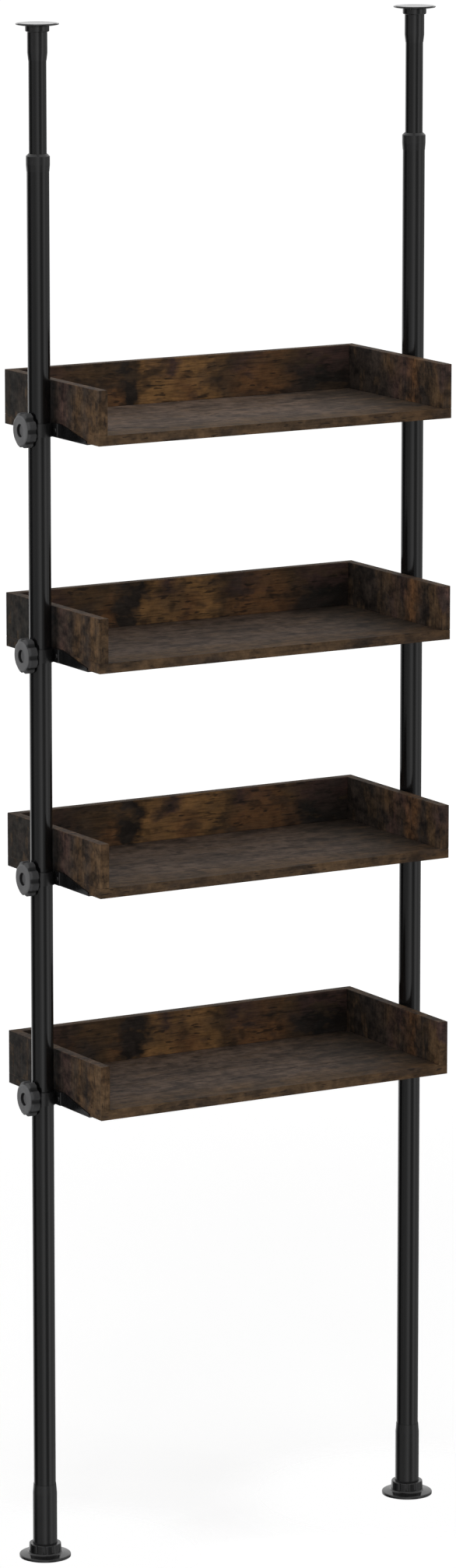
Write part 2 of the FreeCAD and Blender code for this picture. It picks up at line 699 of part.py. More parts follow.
def clamp(shelf, level, side):
    """A ring around the pole with riveted ears against the bracket and a threaded boss for the knob."""
    body = new_body("%s_shelf_%s_clamp" % (shelf, side))
    ring = circles(body, "XY_Plane", "Ring", [(ZERO, ZERO, CLAMP_RADIUS)])
    pad(body, ring, "Sizes.clamp_height")
    ears = rectangle(body, "XY_Plane", "Ears", EAR_FACE, WEB_FACE, minus(EAR_END), EAR_END)
    eared = pad(body, ears, "Sizes.clamp_height")
    ear_face = number(EAR_FACE)
    ear_end = number(EAR_END)

    def ear_corner(edge):
        box = edge.BoundBox
        off = max(abs(box.XMin - ear_face), abs(box.XMax - ear_face), abs(abs(box.Center.y) - ear_end))
        return off < SAME_WITHIN

    fillet(body, eared, ear_corner, "Sizes.clamp_ear_radius")
    boss = circles(body, "YZ_Plane", "Boss", [(ZERO, CLAMP_AXIS_HEIGHT, "Sizes.clamp_boss_diameter / 2")])
    pad(body, boss, BOSS_FACE, reverse=True)
    beyond = "(%s + %s)" % (WEB_FACE, CLAMP_RADIUS)
    flat = rectangle(body, "XY_Plane", "Flat", WEB_FACE, beyond, minus(beyond), beyond)
    pocket(body, flat)
    bore = circles(body, "XY_Plane", "Bore", [(ZERO, ZERO, CLAMP_BORE)])
    pocket(body, bore)
    stud_hole = "Sizes.knob_stud_diameter / 2 + Sizes.running_clearance"
    thread = circles(body, "YZ_Plane", "Thread", [(ZERO, CLAMP_AXIS_HEIGHT, stud_hole)])
    pocket(body, thread, reverse=False)
    rivets = circles(body, "YZ_Plane", "RivetHoles", [
        (minus(RIVET_OFFSET), CLAMP_AXIS_HEIGHT, RIVET_HOLE_RADIUS),
        (RIVET_OFFSET, CLAMP_AXIS_HEIGHT, RIVET_HOLE_RADIUS),
    ])
    pocket(body, rivets)
    place(body, pole_x(side), up=shelf_z(level), turn=facing(side))
    return body


def knob(shelf, level, side):
    """A lobed hand knob with its stud; its hollow back takes the clamp's boss and clears the collar."""
    body = new_body("%s_shelf_%s_knob" % (shelf, side))
    rim = "Sizes.knob_diameter / 2"
    face = "(%s - Sizes.knob_face_inset)" % KNOB_NOTCH_BOTTOM
    notch_centre = "(%s + Sizes.knob_notch_radius)" % KNOB_NOTCH_BOTTOM
    stud = "Sizes.knob_stud_diameter / 2"
    half_chord = "sqrt(%s ^ 2 - %s ^ 2 + (%s) ^ 2)" % (CLAMP_RADIUS, KNOB_BACK, CLAMP_AXIS_HEIGHT)
    hollow = "(%s + Sizes.knob_hollow_gap)" % half_chord
    recess = "Sizes.knob_recess_diameter / 2"
    hollow_floor = "(%s + Sizes.running_clearance)" % BOSS_FACE
    recess_floor = "(%s - Sizes.knob_recess_depth)" % KNOB_FRONT
    turned = revolve(body, [
        (ZERO, CLAMP_BORE),
        (stud, CLAMP_BORE),
        (stud, hollow_floor),
        (hollow, hollow_floor),
        (hollow, KNOB_BACK),
        (rim, KNOB_BACK),
        (rim, KNOB_SHOULDER),
        (face, KNOB_FRONT),
        (recess, KNOB_FRONT),
        (recess, recess_floor),
        (ZERO, recess_floor),
    ])
    fillet(body, turned, ring_edge(face, KNOB_FRONT), "Sizes.knob_edge_radius")
    notch = circles(body, "XY_Plane", "Notch", [(notch_centre, ZERO, "Sizes.knob_notch_radius")])
    lobes = around(body, notch, pocket(body, notch), "Sizes.knob_lobes")
    back_height = number(KNOB_BACK)
    shoulder = number(KNOB_SHOULDER)
    notch_bottom = number(KNOB_NOTCH_BOTTOM)

    def lobe_corner(edge):
        box = edge.BoundBox
        upright = max(box.XLength, box.YLength) < SAME_WITHIN
        return upright and abs(box.ZMin - back_height) + abs(box.ZMax - shoulder) < SAME_WITHIN

    def front_rim(edge):
        middle = edge.valueAt((edge.FirstParameter + edge.LastParameter) / 2)
        outside = FreeCAD.Vector(middle.x, middle.y, 0).Length > notch_bottom - SAME_WITHIN
        return outside and edge.BoundBox.ZMin > shoulder - SAME_WITHIN

    grips = fillet(body, lobes, lobe_corner, "Sizes.knob_lobe_radius")
    fillet(body, grips, front_rim, "Sizes.knob_lip")
    outward = FreeCAD.Rotation(FreeCAD.Vector(0, 0, 1), FreeCAD.Vector(SIDES[side], 0, 0))
    place(body, pole_x(side), up="%s + %s" % (shelf_z(level), CLAMP_AXIS_HEIGHT), turn=outward)
    return body


# Fasteners

def cylinder(name, diameter, height, across, deep, up, turn=None):
    solid = doc.addObject("Part::Cylinder", name)
    solid.setExpression("Radius", diameter + " / 2")
    solid.setExpression("Height", height)
    place(solid, across, deep, up, turn)
    return solid


def fused(name, *pieces):
    whole = doc.addObject("Part::MultiFuse", name)
    whole.Shapes = list(pieces)
    whole.Refine = True
    return whole


def joint_screw(across, deep, bottom):
    """A screw with a flat cylindrical head let into the floor board's underside."""
    seat = "%s + %s" % (bottom, JOINT_HEAD_RECESS)
    head = cylinder("JointHead", "Sizes.joint_head_diameter", "Sizes.joint_head_height",
                    across, deep, seat + " - Sizes.joint_head_height")
    shank = cylinder("JointShank", "Sizes.joint_screw_diameter", JOINT_SHANK_LENGTH, across, deep, seat)
    return fused("JointScrew", head, shank)


def bracket_screw(across, deep, bottom):
    """A flat-headed screw up through the bracket's flange."""
    seat = "%s - Sizes.bracket_thickness" % bottom
    head = cylinder("BracketHead", "Sizes.bracket_head_diameter", "Sizes.bracket_head_height",
                    across, deep, seat + " - Sizes.bracket_head_height")
    shank = cylinder("BracketShank", "Sizes.bracket_screw_diameter", "Sizes.bracket_screw_length",
                     across, deep, seat)
    return fused("BracketScrew", head, shank)


def rivet(side, deep, bottom):
    """A rivet through a clamp's ear, flush in the bracket's web."""
    sign = SIDES[side]
    inward = FreeCAD.Rotation(FreeCAD.Vector(0, 0, 1), FreeCAD.Vector(-sign, 0, 0))
    axis_height = "%s + %s" % (bottom, CLAMP_AXIS_HEIGHT)
    ear = "%s - %d * %s" % (pole_x(side), sign, EAR_FACE)
    head_start = "%s + %d * Sizes.rivet_head_height" % (ear, sign)
    head = cylinder("RivetHead", "Sizes.rivet_head_diameter", "Sizes.rivet_head_height",
                    head_start, deep, axis_height, inward)
    grip = "Sizes.clamp_ear_thickness + Sizes.bracket_thickness"
    shank = cylinder("RivetShank", "Sizes.rivet_diameter", grip, ear, deep, axis_height, inward)
    return fused("Rivet", head, shank)


def group(label, solids):
    together = doc.addObject("Part::Compound", label)
    together.Label = label
    together.Links = solids
    return together


def fasteners(shelf, level):
    bottom = shelf_z(level)
    solids = [joint_screw(across, deep, bottom) for across, deep in joint_screw_places()]
    solids += [bracket_screw(across, deep, bottom) for across, deep in bracket_screw_places()]
    for side in SIDES:
        for deep in (minus(RIVET_OFFSET), RIVET_OFFSET):
            solids.append(rivet(side, deep, bottom))
    return group(shelf + "_shelf_screws", solids)


def shelf_unit(shelf, level):
    pieces = tray_boards(shelf, level)
    for side in SIDES:
        pieces.append(bracket(shelf, level, side))
        pieces.append(knob(shelf, level, side))
    pieces.append(group(shelf + "_shelf_clamps", [clamp(shelf, level, side) for side in SIDES]))
    pieces.append(fasteners(shelf, level))
    return pieces


for side in SIDES:
    nodes += pole(side)
for level, shelf in enumerate(SHELVES):
    nodes += shelf_unit(shelf, level)
doc.recompute()

for item in doc.Objects:
    if "Invalid" in item.State or "Error" in item.State:
        raise RuntimeError("%s did not recompute: %s" % (item.Label, item.State))
    if item.TypeId == "PartDesign::Pocket" and item.Shape.Volume >= item.BaseFeature.Shape.Volume:
        raise RuntimeError("%s in %s cuts nothing" % (item.Label, item.getParentGeoFeatureGroup().Label))
for node in nodes:
    if node.Shape.isNull() or not node.Shape.isValid() or not node.Shape.Solids:
        raise RuntimeError("%s has no sound solid" % node.Label)

os.makedirs("parts", exist_ok=True)
for node in nodes:
    node.Shape.exportStep("parts/%s.step" % node.Label)
print("%d sub-parts, %d solids" % (len(nodes), sum(len(node.Shape.Solids) for node in nodes)))
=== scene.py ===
import json
import math

import bmesh
import bpy
from mathutils import Matrix, Vector


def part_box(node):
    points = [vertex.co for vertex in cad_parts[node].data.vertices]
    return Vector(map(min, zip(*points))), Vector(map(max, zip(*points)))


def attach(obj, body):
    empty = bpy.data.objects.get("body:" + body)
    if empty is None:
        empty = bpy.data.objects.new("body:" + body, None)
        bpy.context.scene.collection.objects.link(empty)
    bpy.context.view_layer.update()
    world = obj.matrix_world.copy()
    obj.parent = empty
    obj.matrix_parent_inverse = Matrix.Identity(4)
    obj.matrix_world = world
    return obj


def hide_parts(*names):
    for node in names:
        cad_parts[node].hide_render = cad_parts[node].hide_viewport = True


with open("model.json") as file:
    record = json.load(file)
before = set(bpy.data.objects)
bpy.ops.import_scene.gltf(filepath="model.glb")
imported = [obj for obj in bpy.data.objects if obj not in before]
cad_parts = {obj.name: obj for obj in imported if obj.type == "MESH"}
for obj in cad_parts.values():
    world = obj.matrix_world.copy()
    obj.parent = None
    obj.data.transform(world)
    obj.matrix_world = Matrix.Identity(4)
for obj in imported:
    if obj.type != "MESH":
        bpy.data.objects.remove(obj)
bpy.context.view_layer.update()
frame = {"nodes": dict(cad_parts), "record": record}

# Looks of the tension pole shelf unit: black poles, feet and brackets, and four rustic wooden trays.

SHELVES = ("bottom", "lower", "upper", "top")
SIDES = {"left": -1, "right": 1}
WHITE = (1, 1, 1, 1)

# Sizes of the trays and their places, in metres
HALF_LENGTH = 0.300
HALF_DEPTH = 0.142
TRAY_TOP = 0.0810
LOWEST_TRAY = 0.6996
TRAY_SPACING = 0.3333

# The photograph's viewpoint
VIEW_YAW = math.radians(30.34)
VIEW_PITCH = math.radians(10.93)
VIEW_TARGET = Vector((-0.0014, 0, 1.1517))
VIEW_DISTANCE = 10.1476
VIEW_LENS = 155.69
VIEW_SENSOR = 36
VIEW_REACH = 200


def make_camera():
    forward = Vector((
        math.sin(VIEW_YAW) * math.cos(VIEW_PITCH),
        math.cos(VIEW_YAW) * math.cos(VIEW_PITCH),
        -math.sin(VIEW_PITCH),
    ))
    data = bpy.data.cameras.new("photograph_view")
    data.sensor_width = VIEW_SENSOR
    data.sensor_fit = "AUTO"
    data.lens = VIEW_LENS
    data.clip_end = VIEW_REACH
    camera = bpy.data.objects.new("photograph_view", data)
    camera.location = VIEW_TARGET - forward * VIEW_DISTANCE
    camera.rotation_euler = (math.pi / 2 - VIEW_PITCH, 0, -VIEW_YAW)
    bpy.context.scene.collection.objects.link(camera)
    bpy.context.scene.camera = camera


# Finishes

class Shade:
    """A socket in a finish's node tree. Arithmetic on it adds Math nodes."""

    def __init__(self, tree, socket):
        self.tree = tree
        self.socket = socket

    def node(self, kind, settings=None, inputs=None, output=0):
        """Any other node: its settings first, then the values or links of its sockets."""
        made = self.tree.nodes.new("ShaderNode" + kind)
        for name, value in (settings or {}).items():
            if name == "stops":
                for _ in value[2:]:
                    made.color_ramp.elements.new(1)
                for stop, (position, colour) in zip(made.color_ramp.elements, value):
                    stop.position = position
                    stop.color = colour
            else:
                setattr(made, name, value)
        for name, value in (inputs or {}).items():
            if isinstance(value, Shade):
                self.tree.links.new(value.socket, made.inputs[name])
            else:
                made.inputs[name].default_value = value
        return Shade(self.tree, made.outputs[output])

    def math(self, operation, *values):
        return self.node("Math", {"operation": operation}, dict(enumerate(values)))

    def axis(self, index):
        """One of a vector's three values."""
        return self.node("SeparateXYZ", None, {"Vector": self}, index)

    def magnitude(self):
        """A value without its sign."""
        return self.math("ABSOLUTE", self)

    def __add__(self, other):
        return self.math("ADD", self, other)

    __radd__ = __add__

    def __sub__(self, other):
        return self.math("SUBTRACT", self, other)

    def __rsub__(self, other):
        return self.math("SUBTRACT", other, self)

    def __mul__(self, other):
        return self.math("MULTIPLY", self, other)

    __rmul__ = __mul__


def stretched_noise(place, stretch, detail=2, roughness=0.5):
    """Noise with its own number of features per metre along each axis."""
    scaled = place.node("Mapping", None, {"Vector": place, "Scale": stretch})
    return place.node("TexNoise", None, {
        "Vector": scaled, "Scale": 1, "Detail": detail, "Roughness": roughness})


def fine_noise(place, features, detail=1, roughness=0.5):
    """Noise with the same number of features per metre along every axis."""
    return stretched_noise(place, (features, features, features), detail, roughness)


def between(value, start, full):
    """0 up to the start, 1 from full on, and a smooth step between them. The start may be the greater."""
    return value.node("MapRange", {"interpolation_type": "SMOOTHSTEP"}, {
        "Value": value, "From Min": start, "From Max": full})


def hypotenuse(side, other):
    return side.math("SQRT", side * side + other * other)


def blended(factor, colour, other, blend="MIX"):
    return colour.node("Mix", {"data_type": "RGBA", "blend_type": blend}, {0: factor, 6: colour, 7: other}, 2)


def ramped(value, *stops):
    return value.node("ValToRGB", {"stops": stops}, {"Fac": value})


def bumped(height, distance, strength=1):
    return height.node("Bump", None, {"Strength": strength, "Distance": distance, "Height": height})


def fill_sockets(tree, shader, looks):
    """Set or link a shader's sockets."""
    for socket, value in looks.items():
        if isinstance(value, Shade):
            tree.links.new(value.socket, shader.inputs[socket])
        else:
            shader.inputs[socket].default_value = value


def new_finish(name, looks):
    """A material whose looks function gives the shader's sockets, from the object's own coordinates."""
    material = bpy.data.materials.new(name)
    material.use_nodes = True
    tree = material.node_tree
    place = Shade(tree, tree.nodes.new("ShaderNodeTexCoord").outputs["Object"])
    fill_sockets(tree, tree.nodes["Principled BSDF"], looks(place))
    return material


WOOD_CHARCOAL = (0.0160, 0.0126, 0.0106, 1)
WOOD_GREY = (0.0200, 0.0186, 0.0170, 1)
WOOD_SLATE = (0.0340, 0.0262, 0.0220, 1)
WOOD_PLUM = (0.0600, 0.0355, 0.0305, 1)
WOOD_BROWN = (0.0760, 0.0450, 0.0240, 1)
WOOD_RUSSET = (0.1380, 0.0680, 0.0310, 1)
WOOD_GOLD = (0.2150, 0.1140, 0.0450, 1)
WOOD_TAN = (0.0940, 0.0585, 0.0325, 1)
WOOD_ASH = (0.1260, 0.0905, 0.0700, 1)
# The next tone is painted shade, for the floor boards' right ends
WOOD_PAINTED_SHADE = (0.0480, 0.0360, 0.0270, 1)

# Tones along a back board from its left end, in its lower and its upper half
BACK_TONES = (
    (0.02, WOOD_BROWN), (0.12, WOOD_RUSSET), (0.19, WOOD_SLATE), (0.25, WOOD_BROWN), (0.29, WOOD_RUSSET),
    (0.322, WOOD_CHARCOAL), (0.358, WOOD_CHARCOAL), (0.39, WOOD_GOLD), (0.45, WOOD_GOLD), (0.50, WOOD_RUSSET),
    (0.56, WOOD_GOLD), (0.61, WOOD_BROWN), (0.67, WOOD_RUSSET), (0.77, WOOD_RUSSET), (0.83, WOOD_SLATE),
    (0.88, WOOD_GREY), (0.98, WOOD_CHARCOAL))
BACK_TOP_TONES = (
    (0.02, WOOD_SLATE), (0.10, WOOD_PLUM), (0.20, WOOD_BROWN), (0.30, WOOD_BROWN), (0.325, WOOD_SLATE),
    (0.36, WOOD_CHARCOAL), (0.40, WOOD_GOLD), (0.45, WOOD_PLUM), (0.49, WOOD_GOLD), (0.57, WOOD_GOLD),
    (0.62, WOOD_BROWN), (0.66, WOOD_PLUM), (0.74, WOOD_RUSSET), (0.80, WOOD_BROWN), (0.86, WOOD_PLUM),
    (0.98, WOOD_PLUM))
# Tones along a left board from its front end, in its lower and its upper half
LEFT_TONES = (
    (0.02, WOOD_TAN), (0.10, WOOD_BROWN), (0.15, WOOD_SLATE), (0.22, WOOD_BROWN), (0.30, WOOD_SLATE),
    (0.38, WOOD_PLUM), (0.46, WOOD_SLATE), (0.56, WOOD_CHARCOAL), (0.66, WOOD_GREY), (0.98, WOOD_GREY))
LEFT_TOP_TONES = (
    (0.02, WOOD_BROWN), (0.12, WOOD_PLUM), (0.20, WOOD_BROWN), (0.30, WOOD_RUSSET), (0.40, WOOD_PLUM),
    (0.50, WOOD_BROWN), (0.58, WOOD_SLATE), (0.70, WOOD_GREY), (0.98, WOOD_GREY))
# The same for a right board, whose rear part is darker: painted shade in the back corner
RIGHT_TONES_WITH_CORNER_SHADE = (
    (0.02, WOOD_BROWN), (0.08, WOOD_TAN), (0.14, WOOD_CHARCOAL), (0.21, WOOD_SLATE), (0.29, WOOD_RUSSET),
    (0.38, WOOD_SLATE), (0.48, WOOD_PLUM), (0.56, WOOD_SLATE), (0.66, WOOD_CHARCOAL), (0.98, WOOD_CHARCOAL))
RIGHT_TOP_TONES_WITH_CORNER_SHADE = (
    (0.02, WOOD_PLUM), (0.10, WOOD_BROWN), (0.16, WOOD_SLATE), (0.28, WOOD_RUSSET), (0.40, WOOD_PLUM),
    (0.52, WOOD_BROWN), (0.66, WOOD_SLATE), (0.80, WOOD_CHARCOAL), (0.98, WOOD_CHARCOAL))
# Tones along a floor board's depth from its front edge, over most of its length, and darker ones at its right
# end, which are painted shade beside the right board
FLOOR_TONES = (
    (0.02, WOOD_TAN), (0.08, WOOD_TAN), (0.26, WOOD_ASH), (0.98, WOOD_ASH))
FLOOR_END_SHADE_TONES = (
    (0.02, WOOD_BROWN), (0.20, WOOD_PAINTED_SHADE), (0.98, WOOD_PAINTED_SHADE))

# Noise in the wood: its features per metre along each axis, its levels of detail and their roughness
BOARD_NOISES = {
    "drift": ((22, 22, 34), 3, 0.62),
    "clouds": ((9, 15, 15), 2, 0.55),
    "mottles": ((58, 58, 75), 3, 0.68),
}
# The same for noise that is drawn out along the grain
GRAIN_NOISES = {
    "blotches": ((18, 40, 40), 3, 0.62),
    "knots": ((34, 60, 60), 2, 0.5),
    "streaks": ((9, 150, 150), 3, 0.62),
    "fibres": ((30, 560, 560), 2, 0.6),
    "ticks": ((44, 240, 240), 1, 0.5),
}
# Figure over the tones, from the first layer to the last: a noise, the layer's strength, the noise's values
# at which it starts and is full, and its tone
WOOD_LAYERS = (
    ("clouds", 0.34, 0.48, 0.62, WOOD_SLATE),
    ("blotches", 0.55, 0.52, 0.64, WOOD_SLATE),
    ("blotches", 0.36, 0.47, 0.38, WOOD_TAN),
    ("knots", 0.50, 0.58, 0.70, WOOD_CHARCOAL),
    ("streaks", 0.45, 0.50, 0.34, WOOD_CHARCOAL),
    ("fibres", 0.35, 0.52, 0.36, WOOD_CHARCOAL),
    ("ticks", 0.75, 0.64, 0.71, WOOD_CHARCOAL),
)
GRAIN_LINES = ("streaks", "fibres")
# Under an overlay, a shade below 0.5 darkens the wood and one above it lightens it
MOTTLE_SHADES = ((0.34, (0.20, 0.21, 0.23, 1)), (0.66, (0.78, 0.76, 0.73, 1)))
# How far the tones wander along a board, as a share of half its length
TONE_DRIFT = 0.16
# How deep the tone of a tray's ends and top edges goes, in metres, and the strength of the top edges'
END_SKIN = 0.0006
TOP_EDGE_TINT = 0.8
# Depth of the grain's relief, in metres
GRAIN_RELIEF = 0.0006
# Heights in a tray, and places along it, between which other tones take over (at a floor board's right end,
# painted shade), and how far these wander
UPPER_HALF = (0.040, 0.062)
UPPER_HALF_DRIFT = 0.10
RIGHT_END = (0.08, 0.27)
RIGHT_END_DRIFT = 0.3


def tray_height(place):
    """Height above the underside of the tray that a point belongs to."""
    height = place.axis(2)
    return height.math("WRAP", height, LOWEST_TRAY + TRAY_SPACING, LOWEST_TRAY) - LOWEST_TRAY


def upper_half(place, blotches):
    """0 in a board's lower half and 1 in its upper half, with an uneven line between them."""
    return between(tray_height(place) + UPPER_HALF_DRIFT * (blotches - 0.5), *UPPER_HALF)


def painted_end_shade(place, blotches):
    """0 over most of a floor board and 1 towards its right end, where painted shade takes over."""
    return between(place.axis(0) + RIGHT_END_DRIFT * (blotches - 0.5), *RIGHT_END)


def rustic_wood(turn, tone_axis, half_length, tones, other_tones, crossing, lines, mottling):
    """Dark rustic wood with its grain along X after a turn. Its tones lie along one axis, and other
    tones take over across the board, where the crossing function's value goes from 0 to 1. The lines
    value is the strength of the dark grain lines, and mottling that of small lighter and darker spots."""
    def looks(place):
        grain = place.node("Mapping", None, {"Vector": place, "Rotation": turn})
        noise = {name: stretched_noise(place, *sizes) for name, sizes in BOARD_NOISES.items()}
        noise.update({name: stretched_noise(grain, *sizes) for name, sizes in GRAIN_NOISES.items()})

        def share_along(axis, half):
            value = place.axis(axis) + TONE_DRIFT * half * (2 * noise["drift"] - 1)
            return value.node("MapRange", None, {"Value": value, "From Min": -half, "From Max": half})

        share = share_along(tone_axis, half_length)
        crossed = crossing(place, noise["blotches"])
        tone = blended(crossed, ramped(share, *tones), ramped(share, *other_tones))
        ends = between(place.axis(0).magnitude(), HALF_LENGTH - END_SKIN, HALF_LENGTH)
        tone = blended(ends, tone, ramped(share_along(1, HALF_DEPTH), *LEFT_TONES))
        top_edge = between(tray_height(place), TRAY_TOP - END_SKIN, TRAY_TOP)
        tone = blended(TOP_EDGE_TINT * top_edge, tone, WOOD_BROWN)
        for name, strength, start, full, colour in WOOD_LAYERS:
            if name in GRAIN_LINES:
                strength *= lines
            tone = blended(strength * between(noise[name], start, full), tone, colour)
        tone = blended(mottling, tone, ramped(noise["mottles"], *MOTTLE_SHADES), "OVERLAY")
        return {
            "Base Color": tone,
            "Roughness": 0.72 - 0.16 * noise["streaks"],
            "Specular IOR Level": 0.07,
            "Normal": bumped(0.6 * noise["streaks"] + 0.4 * noise["fibres"], GRAIN_RELIEF * lines),
        }
    return looks


# Tones of the black coat and plastics
BLACK = (0.0052, 0.0052, 0.0054, 1)
BLACK_DEEP = (0.0034, 0.0035, 0.0036, 1)
BLACK_WORN = (0.0082, 0.0082, 0.0085, 1)
# The colour of the painted shade on the knobs
BLACK_PAINTED_SHADE = (0.006, 0.006, 0.0062, 1)


def powder_coat(place):
    """Semi-gloss black powder coat with a fine orange-peel surface."""
    peel = fine_noise(place, 900)
    cloud = stretched_noise(place, (14, 14, 3))
    return {
        "Base Color": ramped(cloud, (0.35, BLACK_DEEP), (0.65, BLACK)),
        "Roughness": 0.10 + 0.06 * cloud + 0.03 * peel,
        "Specular IOR Level": 0.46,
        "Normal": bumped(peel, 0.00008, 0.4),
    }


def moulded_plastic(dark, light, roughness, specular):
    """Moulded plastic with a fine eroded grain from its tool and faint flow marks."""
    def looks(place):
        grain = fine_noise(place, 1500, 2, 0.6)
        flow = stretched_noise(place, (45, 45, 20))
        return {
            "Base Color": ramped(flow, (0.35, dark), (0.68, light)),
            "Roughness": roughness + 0.12 * (grain - 0.5) + 0.10 * (flow - 0.5),
            "Specular IOR Level": specular,
            "Normal": bumped(grain, 0.0001, 0.15),
        }
    return looks


# The height of the lowest knobs' axis and the distance of a knob's face from the middle, in metres
KNOB_AXIS = 0.7096
KNOB_FACE = 0.3522
KNOB_LOBES = 8
# Radii at which the grip's painted shade starts and is full, and at which the painted shade on the dish's
# wall comes and goes
KNOB_GRIP = (0.0140, 0.0160)
KNOB_WALL_INSIDE = (0.0088, 0.0095)
KNOB_WALL_OUTSIDE = (0.0110, 0.0101)
# How far below the face these start and are full
KNOB_SHADE_DEPTH = (0.0003, 0.0012)
# Where a notch's painted shade starts and is full on the wave around the rim, which is 1 in a notch, -1 on a
# lobe
KNOB_NOTCH = (0.1, 0.9)
# How dark the painted shade on the grip and the wall is, and how much darker it is in the notches than on the
# lobes
GRIP_SHADE = 0.60
NOTCH_SHADE = 0.34
WALL_SHADE = 0.9


def knob_plastic(place):
    """Satin grey plastic. The grip around the rim carries painted shade, darkest in its notches,
    and so does the wall of the dished centre."""
    moulded = moulded_plastic((0.092, 0.092, 0.094, 1), (0.120, 0.120, 0.122, 1), 0.48, 0.2)(place)
    along, deep, high = [place.axis(index) for index in range(3)]
    half = TRAY_SPACING / 2
    high = high.math("WRAP", high - KNOB_AXIS, half, -half)
    radius = hypotenuse(high, deep)
    around = high.math("ARCTAN2", deep, high)
    notch = between(around.math("COSINE", around * KNOB_LOBES), *KNOB_NOTCH)
    # Painted shade: darker on the grip around the rim, most of all in the notches, and on the dish's wall
    below_face = between(KNOB_FACE - along.magnitude(), *KNOB_SHADE_DEPTH)
    grip = below_face * (GRIP_SHADE + NOTCH_SHADE * notch) * between(radius, *KNOB_GRIP)
    wall = below_face * between(radius, *KNOB_WALL_INSIDE) * between(radius, *KNOB_WALL_OUTSIDE)
    shade = grip.math("MAXIMUM", grip, WALL_SHADE * wall)
    moulded["Base Color"] = blended(shade, moulded["Base Color"], BLACK_PAINTED_SHADE)
    return moulded


def rubber(place):
    """Smooth dense rubber with a faint bloom."""
    bloom = fine_noise(place, 60, 3, 0.6)
    grain = fine_noise(place, 1200)
    return {
        "Base Color": ramped(bloom, (0.38, (0.045, 0.045, 0.047, 1)), (0.66, (0.085, 0.085, 0.088, 1))),
        "Roughness": 0.10 + 0.10 * bloom,
        "Specular IOR Level": 0.5,
        "Normal": bumped(grain, 0.0001, 0.05),
    }


def zinc_steel(place):
    """Zinc-plated steel with a cloudy passivated colour."""
    cloud = fine_noise(place, 220, 2)
    scratches = stretched_noise(place, (2400, 300, 300), 1)
    return {
        "Base Color": ramped(cloud, (0.36, (0.40, 0.40, 0.41, 1)), (0.64, (0.56, 0.55, 0.51, 1))),
        "Metallic": 1,
        "Roughness": 0.28 + 0.14 * cloud + 0.06 * scratches,
        "Normal": bumped(scratches, 0.00006, 0.4),
    }


FLAT_GRAIN = (0, 0, 0)
UPRIGHT_GRAIN = (0, math.pi / 2, 0)
POLISHED_ENDS = ("foot_base", "ceiling_cap")


def dress_cad_nodes():
    """Give every CAD node the finish of its slot, with the wood's grain along each board. The ends of
    the poles are more polished than the other black plastic."""
    finishes = {
        "powder_coat": new_finish("black_powder_coat", powder_coat),
        "black_plastic": new_finish("black_moulded_plastic", moulded_plastic(BLACK, BLACK_WORN, 0.24, 0.46)),
        "knob_plastic": new_finish("grey_knob_plastic", knob_plastic),
        "lock_plastic": new_finish("natural_lock_plastic", moulded_plastic(
            (0.50, 0.50, 0.47, 1), (0.60, 0.60, 0.57, 1), 0.45, 0.4)),
        "rubber_pads": new_finish("pad_rubber", rubber),
        "zinc_steel": new_finish("zinc_plated_steel", zinc_steel),
    }
    polished = new_finish("black_polished_plastic", moulded_plastic(BLACK, BLACK_WORN, 0.10, 0.5))
    woods = {
        "back_board": new_finish("rustic_wood_back_boards", rustic_wood(
            FLAT_GRAIN, 0, HALF_LENGTH, BACK_TONES, BACK_TOP_TONES, upper_half, 1, 0.35)),
        "floor_board": new_finish("rustic_wood_floor_boards", rustic_wood(
            FLAT_GRAIN, 1, HALF_DEPTH, FLOOR_TONES, FLOOR_END_SHADE_TONES, painted_end_shade, 0.6, 0.6)),
        "left_board": new_finish("rustic_wood_left_boards", rustic_wood(
            UPRIGHT_GRAIN, 1, HALF_DEPTH, LEFT_TONES, LEFT_TOP_TONES, upper_half, 1, 1)),
        "right_board": new_finish("rustic_wood_right_boards", rustic_wood(
            UPRIGHT_GRAIN, 1, HALF_DEPTH, RIGHT_TONES_WITH_CORNER_SHADE, RIGHT_TOP_TONES_WITH_CORNER_SHADE, upper_half, 1, 1)),
    }
    for part in frame["record"]["subparts"]:
        name = part["node"]
        if name.endswith(POLISHED_ENDS):
            finish = polished
        elif part["material_slot"] == "wood_boards":
            finish = woods[name.split("_shelf_")[1]]
        else:
            finish = finishes[part["material_slot"]]
        mesh = frame["nodes"][name].data
        mesh.materials.clear()
        mesh.materials.append(finish)
    return finishes


# New pieces

def finished_piece(name, shape, body, slot, finish, replaced=()):
    """Turn a bmesh into a piece that rides on a body and takes the given finish. The slot is not used."""
    mesh = bpy.data.meshes.new(name)
    shape.to_mesh(mesh)
    shape.free()
    mesh.materials.append(finish)
    piece = bpy.data.objects.new(name, mesh)
    bpy.context.scene.collection.objects.link(piece)
    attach(piece, body)
    if replaced:
        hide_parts(*replaced)


ROUND_STEPS = 28
# Fasteners: the head's radius, its height and its dome's, and the shank's radius and length, in metres
JOINT_SCREW = (0.0040, 0.0028, 0.0004, 0.0024, 0.0472)
BRACKET_SCREW = (0.0038, 0.0022, 0.0012, 0.00175, 0.0130)
RIVET = (0.0036, 0.0020, 0.0014, 0.0019, 0.0060)
# Shares of a head's radius
CROSS_ARM = 0.62
CROSS_HALF_WIDTH = 0.15
RIVET_FLAT = 0.4
CROWN_RADIUS = 0.74
DOME_RADIUS = 0.92
# Shares of a dome's height above the shoulder
CROWN_RISE = 0.75
DOME_RISE = 0.45
# The recess's depth as a share of the head's height, and its floor's size as a share of its mouth's
CROSS_DEPTH = 0.62
CROSS_TAPER = 0.72
MERGE_DISTANCE = 1e-7


